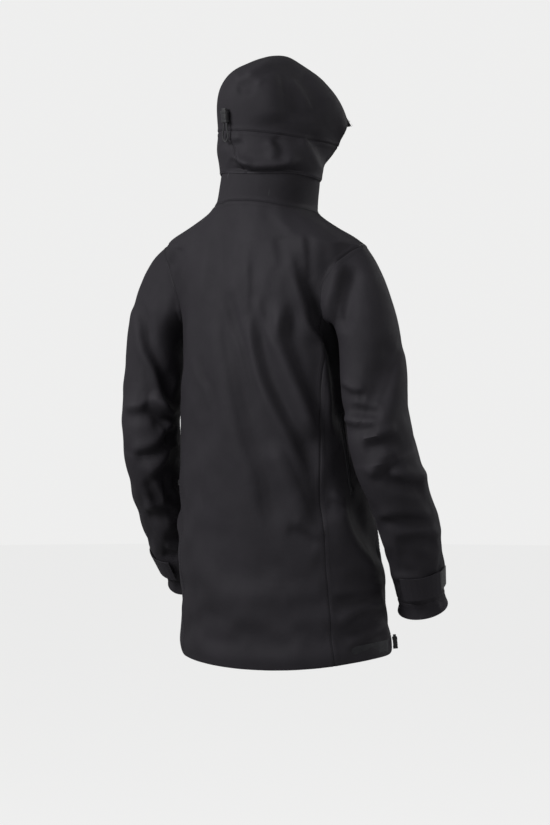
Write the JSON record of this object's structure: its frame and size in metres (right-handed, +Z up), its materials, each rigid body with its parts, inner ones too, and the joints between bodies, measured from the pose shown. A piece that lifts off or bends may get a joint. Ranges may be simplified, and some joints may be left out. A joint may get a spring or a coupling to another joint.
{
  "type": "hardshell jacket",
  "caption": "Hooded parka-length waterproof shell jacket, zipped up with the hood raised, with moving sleeves, hood, zip sliders, pulls, cuff tabs and cord-lock buttons.",
  "frame": {"origin": "the hang loop inside the back of the neck, at the nape", "axes": "+X to the wearer's left, -Y to the wearer's front, +Z up"},
  "size_m": [0.605, 0.3036, 1.0509],
  "materials": {
    "shell_cloth": "matte laminated cloth",
    "lining": "smooth backing cloth",
    "knit": "brushed knit",
    "zip_tape": "woven tape",
    "zip_teeth": "moulded, satin",
    "zip_metal": "satin coated",
    "trim_plastic": "moulded, fine texture",
    "button_plastic": "moulded, smooth",
    "cord": "braided elastic",
    "label": "satin tape, blank"
  },
  "bodies": {
    "shell": {"back_panel": "shell_cloth", "front_panel_left": "shell_cloth", "front_panel_right": "shell_cloth", "side_panel_left": "shell_cloth", "side_panel_right": "shell_cloth", "collar_shell": "shell_cloth", "collar_lining": "knit", "hem_facing": "lining", "zip_teeth_left": "zip_teeth", "zip_teeth_right": "zip_teeth", "zip_tape_left": "zip_tape", "zip_tape_right": "zip_tape", "zip_box": "zip_metal", "storm_flap": "lining", "chin_guard": "knit", "pocket_left_zip": "zip_teeth", "pocket_right_zip": "zip_teeth", "pocket_bag_left": "lining", "pocket_bag_right": "lining", "vent_left_zip": "zip_teeth", "vent_right_zip": "zip_teeth", "hem_cord_lock_left": "trim_plastic", "hem_cord_lock_right": "trim_plastic", "hang_loop": "zip_tape", "size_label": "label"},
    "hood": {"hood_crown": "shell_cloth", "hood_lower_left": "shell_cloth", "hood_lower_right": "shell_cloth", "hood_visor": "shell_cloth", "brow_facing": "lining", "cheek_facing_left": "lining", "cheek_facing_right": "lining", "hood_cord_lock": "trim_plastic", "hood_cord_loop": "cord"},
    "hood_button": {"hood_lock_button": "button_plastic"},
    "main_slider": {"main_slider": "zip_metal"},
    "main_pull": {"main_pull": "trim_plastic"},
    "upper_sleeve_left": {"upper_sleeve_left": "shell_cloth"},
    "lower_sleeve_left": {"lower_sleeve_left": "shell_cloth", "cuff_band_left": "shell_cloth", "cuff_patch_left": "knit"},
    "cuff_tab_left": {"cuff_tab_left": "trim_plastic"},
    "pocket_slider_left": {"pocket_left_slider": "zip_metal"},
    "pocket_pull_left": {"pocket_left_pull": "trim_plastic"},
    "vent_slider_left": {"vent_left_slider": "zip_metal"},
    "hem_button_left": {"hem_lock_button_left": "button_plastic"},
    "upper_sleeve_right": {"upper_sleeve_right": "shell_cloth"},
    "lower_sleeve_right": {"lower_sleeve_right": "shell_cloth", "cuff_band_right": "shell_cloth", "cuff_patch_right": "knit"},
    "cuff_tab_right": {"cuff_tab_right": "trim_plastic"},
    "pocket_slider_right": {"pocket_right_slider": "zip_metal"},
    "pocket_pull_right": {"pocket_right_pull": "trim_plastic"},
    "vent_slider_right": {"vent_right_slider": "zip_metal"},
    "hem_button_right": {"hem_lock_button_right": "button_plastic"}
  },
  "joints": [
    {"name": "hood_tilt", "type": "hinge", "parent": "shell", "child": "hood", "pos_m": [-0.009, -0.004, 0.0555], "axis": [-1, 0, 0], "range_deg": [0, 35]},
    {"name": "hood_lock_press", "type": "slide", "parent": "hood", "child": "hood_button", "axis": [-0.0356, -0.084, -0.9958], "range_m": [0, 0.003], "stiffness_N_per_m": 500},
    {"name": "main_zip", "type": "slide", "parent": "shell", "child": "main_slider", "axis": [-0.0229, -0.1045, -0.9943], "range_m": [0, 0.735]},
    {"name": "main_pull_swing", "type": "hinge", "parent": "main_slider", "child": "main_pull", "pos_m": [0.00333, -0.17515, 0.00617], "axis": [-0.9997, 0, 0.0231], "range_deg": [0, 150]},
    {"name": "shoulder_left", "type": "hinge", "parent": "shell", "child": "upper_sleeve_left", "pos_m": [0.19254, -0.085, -0.067], "axis": [0, -1, 0], "range_deg": [0, 40]},
    {"name": "elbow_left", "type": "hinge", "parent": "upper_sleeve_left", "child": "lower_sleeve_left", "pos_m": [0.218, -0.12456, -0.40496], "axis": [-1, 0, 0], "range_deg": [0, 40]},
    {"name": "cuff_tab_swing_left", "type": "hinge", "parent": "lower_sleeve_left", "child": "cuff_tab_left", "pos_m": [0.23273, -0.15059, -0.66342], "axis": [-0.054, 0.6722, 0.7384], "range_deg": [0, 75]},
    {"name": "pocket_zip_left", "type": "slide", "parent": "shell", "child": "pocket_slider_left", "axis": [0.2001, -0.0412, -0.9789], "range_m": [0, 0.15]},
    {"name": "pocket_pull_swing_left", "type": "hinge", "parent": "pocket_slider_left", "child": "pocket_pull_left", "pos_m": [0.0843, -0.21106, -0.43143], "axis": [-0.9227, -0.3438, -0.1741], "range_deg": [0, 150]},
    {"name": "vent_zip_left", "type": "slide", "parent": "shell", "child": "vent_slider_left", "axis": [-0.0684, 0.0818, 0.9943], "range_m": [0, 0.12]},
    {"name": "hem_lock_press_left", "type": "slide", "parent": "shell", "child": "hem_button_left", "axis": [0.0182, -0.0792, -0.9967], "range_m": [0, 0.003], "stiffness_N_per_m": 500},
    {"name": "shoulder_right", "type": "hinge", "parent": "shell", "child": "upper_sleeve_right", "pos_m": [-0.19146, -0.085, -0.067], "axis": [0, 1, 0], "range_deg": [0, 40]},
    {"name": "elbow_right", "type": "hinge", "parent": "upper_sleeve_right", "child": "lower_sleeve_right", "pos_m": [-0.242, -0.1266, -0.41307], "axis": [-1, 0, 0], "range_deg": [0, 55]},
    {"name": "cuff_tab_swing_right", "type": "hinge", "parent": "lower_sleeve_right", "child": "cuff_tab_right", "pos_m": [-0.24938, -0.11871, -0.66658], "axis": [0.0583, -0.4949, -0.867], "range_deg": [0, 75]},
    {"name": "pocket_zip_right", "type": "slide", "parent": "shell", "child": "pocket_slider_right", "axis": [-0.2434, -0.0402, -0.9691], "range_m": [0, 0.15]},
    {"name": "pocket_pull_swing_right", "type": "hinge", "parent": "pocket_slider_right", "child": "pocket_pull_right", "pos_m": [-0.09784, -0.21104, -0.43119], "axis": [-0.9123, 0.3488, 0.2147], "range_deg": [0, 150]},
    {"name": "vent_zip_right", "type": "slide", "parent": "shell", "child": "vent_slider_right", "axis": [0.1114, 0.0814, 0.9904], "range_m": [0, 0.12]},
    {"name": "hem_lock_press_right", "type": "slide", "parent": "shell", "child": "hem_button_right", "axis": [-0.0566, -0.0791, -0.9953], "range_m": [0, 0.003], "stiffness_N_per_m": 500}
  ]
}
